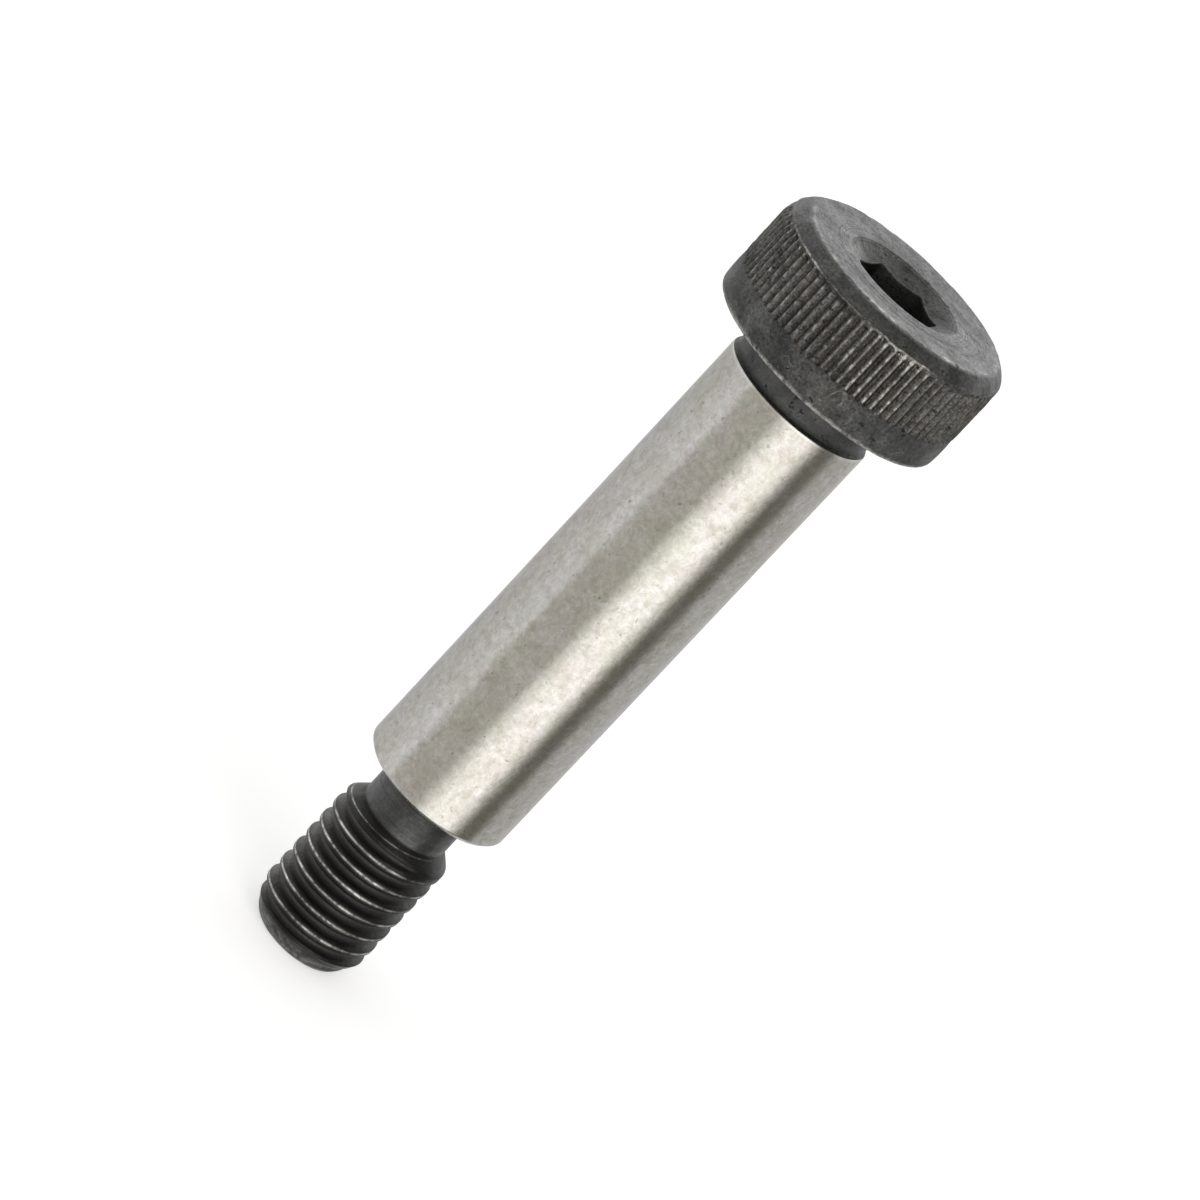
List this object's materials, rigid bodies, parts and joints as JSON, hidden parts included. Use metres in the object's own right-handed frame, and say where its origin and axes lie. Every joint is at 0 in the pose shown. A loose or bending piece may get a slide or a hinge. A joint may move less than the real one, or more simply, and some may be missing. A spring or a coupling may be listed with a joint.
{
  "type": "shoulder bolt",
  "caption": "Socket-head shoulder bolt: knurled cylinder head with a hexagon socket, ground shoulder, undercut and a smaller threaded end.",
  "frame": {"origin": "centre of the head's bearing face, on the bolt's axis", "axes": "+Z along the bolt's axis, towards the head's top; the bolt stands on its threaded end"},
  "size_m": [0.016, 0.016, 0.0548],
  "materials": {
    "alloy_steel": "blackened all over, with the shoulder ground bright"
  },
  "bodies": {
    "root": {"shoulder_bolt": "alloy_steel"}
  },
  "joints": []
}
